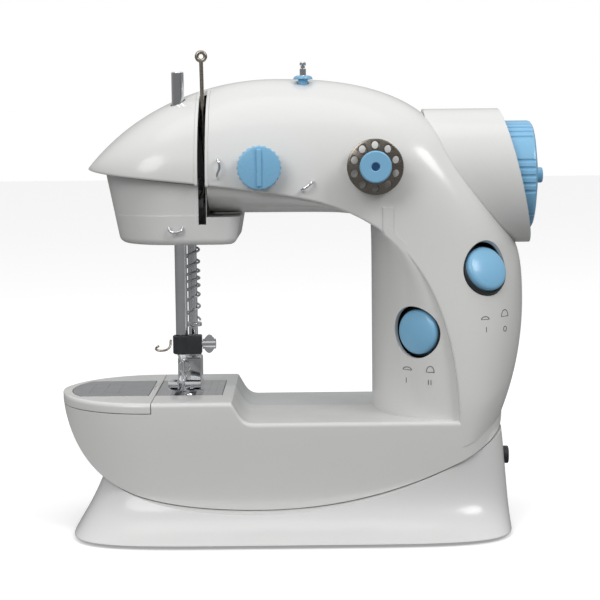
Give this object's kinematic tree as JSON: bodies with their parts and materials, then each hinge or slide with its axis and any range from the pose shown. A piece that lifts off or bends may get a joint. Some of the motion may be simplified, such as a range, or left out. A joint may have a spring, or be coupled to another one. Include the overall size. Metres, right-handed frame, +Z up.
{
  "type": "sewing machine",
  "caption": "Portable free-arm style sewing machine with a C-shaped casing, flared base, handwheel, needle and presser bars, front bobbin, tension dial and push buttons.",
  "frame": {"origin": "on the ground at the middle of the footprint", "axes": "+X along the arm towards the handwheel, +Y to the rear, away from the user, +Z up"},
  "size_m": [0.2, 0.108, 0.1945],
  "materials": {
    "white_casing": "smooth glossy white moulding",
    "head_plastic": "smooth pale grey moulding",
    "base_plastic": "smooth pale grey-white moulding",
    "blue_plastic": "glossy light blue moulding",
    "dark_plastic": "matt charcoal moulding",
    "rubber_foot": "matt dark rubber",
    "belt_rubber": "matt black rubber",
    "chrome": "polished",
    "steel": "satin",
    "bush_brass": "sintered bronze"
  },
  "bodies": {
    "machine": {"front_shell": "white_casing", "rear_shell": "white_casing", "wheel_housing": "white_casing", "head_housing": "head_plastic", "base_skirt": "base_plastic", "base_plate": "base_plastic", "spool_base": "blue_plastic", "battery_box": "dark_plastic", "power_bezel": "dark_plastic", "speed_bezel": "dark_plastic", "power_switch": "dark_plastic", "speed_switch": "dark_plastic", "power_jack": "dark_plastic", "foot_1": "rubber_foot", "foot_2": "rubber_foot", "foot_3": "rubber_foot", "foot_4": "rubber_foot", "drive_belt": "belt_rubber", "timing_belt": "belt_rubber", "tension_stud": "chrome", "tension_disc": "chrome", "thread_guide_left": "chrome", "thread_guide_right": "chrome", "head_eyelet": "chrome", "needle_plate": "chrome", "arm_frame": "steel", "motor": "steel", "bed_frame": "steel", "presser_spring": "steel", "left_bush": "bush_brass", "right_bush": "bush_brass"},
    "drive": {"main_shaft": "steel", "crank_disc": "steel", "shaft_pulley": "dark_plastic", "handwheel": "blue_plastic"},
    "motor_rotor": {"motor_pulley": "steel"},
    "hook": {"lower_shaft": "steel", "rotary_hook": "steel", "lower_bobbin": "steel"},
    "needle": {"needle_bar": "chrome", "needle_bar_yoke": "steel", "needle_clamp": "dark_plastic", "needle": "chrome", "needle_thread_guide": "chrome", "take_up_lever": "chrome"},
    "clamp_screw": {"clamp_screw": "chrome"},
    "presser": {"presser_bar": "chrome", "presser_foot": "chrome"},
    "foot_screw": {"foot_screw": "chrome"},
    "lifter": {"presser_lifter": "steel"},
    "dial": {"tension_dial": "blue_plastic"},
    "bobbin": {"front_bobbin": "steel", "bobbin_hub": "blue_plastic"},
    "spool": {"spool_pin": "chrome"},
    "cover": {"bobbin_cover": "white_casing", "cover_plate": "steel"},
    "door": {"battery_door": "base_plastic"},
    "feed": {"feed_dog": "steel"},
    "power": {"power_button": "blue_plastic"},
    "speed": {"speed_button": "blue_plastic"}
  },
  "joints": [
    {"name": "handwheel_spin", "type": "hinge", "parent": "machine", "child": "drive", "pos_m": [0.08, 0, 0.143], "axis": [1, 0, 0], "continuous": true},
    {"name": "motor_spin", "type": "hinge", "parent": "machine", "child": "motor_rotor", "pos_m": [0.05, 0.014, 0.036], "axis": [1, 0, 0], "continuous": true},
    {"name": "hook_spin", "type": "hinge", "parent": "machine", "child": "hook", "pos_m": [0, -0.01, 0.037], "axis": [1, 0, 0], "continuous": true},
    {"name": "needle_travel", "type": "slide", "parent": "machine", "child": "needle", "axis": [0, 0, 1], "range_m": [-0.003, 0.019]},
    {"name": "clamp_screw_turn", "type": "hinge", "parent": "needle", "child": "clamp_screw", "pos_m": [-0.04, -0.01, 0.0753], "axis": [1, 0, 0], "range_deg": [-360, 360]},
    {"name": "lifter_turn", "type": "hinge", "parent": "machine", "child": "lifter", "pos_m": [-0.0575, 0.03, 0.127], "axis": [0, -1, 0], "range_deg": [0, 38]},
    {"name": "presser_lift", "type": "slide", "parent": "machine", "child": "presser", "axis": [0, 0, 1], "range_m": [0, 0.0065], "deforming": ["presser_spring"]},
    {"name": "foot_screw_turn", "type": "hinge", "parent": "presser", "child": "foot_screw", "pos_m": [-0.0491, -0.006, 0.0652], "axis": [0, -1, 0], "range_deg": [-360, 360]},
    {"name": "tension_turn", "type": "hinge", "parent": "machine", "child": "dial", "pos_m": [-0.0161, -0.04, 0.1478], "axis": [0, -1, 0], "range_deg": [-150, 150]},
    {"name": "bobbin_spin", "type": "hinge", "parent": "machine", "child": "bobbin", "pos_m": [0.0288, -0.04, 0.1478], "axis": [0, -1, 0], "continuous": true},
    {"name": "spool_pin_pull", "type": "slide", "parent": "machine", "child": "spool", "axis": [0, 0, 1], "range_m": [0, 0.024]},
    {"name": "cover_slide", "type": "slide", "parent": "machine", "child": "cover", "axis": [-1, 0, 0], "range_m": [0, 0.042]},
    {"name": "door_release", "type": "slide", "parent": "machine", "child": "door", "axis": [0, 0, -1], "range_m": [0, 0.03]},
    {"name": "feed_stroke", "type": "slide", "parent": "machine", "child": "feed", "axis": [0, 1, 0], "range_m": [-0.0012, 0.0012]},
    {"name": "power_press", "type": "slide", "parent": "machine", "child": "power", "axis": [-0.4707, 0.7911, -0.3906], "range_m": [0, 0.0025], "stiffness_N_per_m": 600, "springref_m": -0.001},
    {"name": "speed_press", "type": "slide", "parent": "machine", "child": "speed", "axis": [0.65, 0.76, 0], "range_m": [0, 0.0025], "stiffness_N_per_m": 600, "springref_m": -0.001}
  ],
  "couplings": [
    {"joint": "motor_spin", "follows": "handwheel_spin", "ratio": 3.5},
    {"joint": "hook_spin", "follows": "handwheel_spin", "ratio": 1},
    {"joint": "presser_lift", "follows": "lifter_turn", "m_per_rad": 0.009}
  ]
}
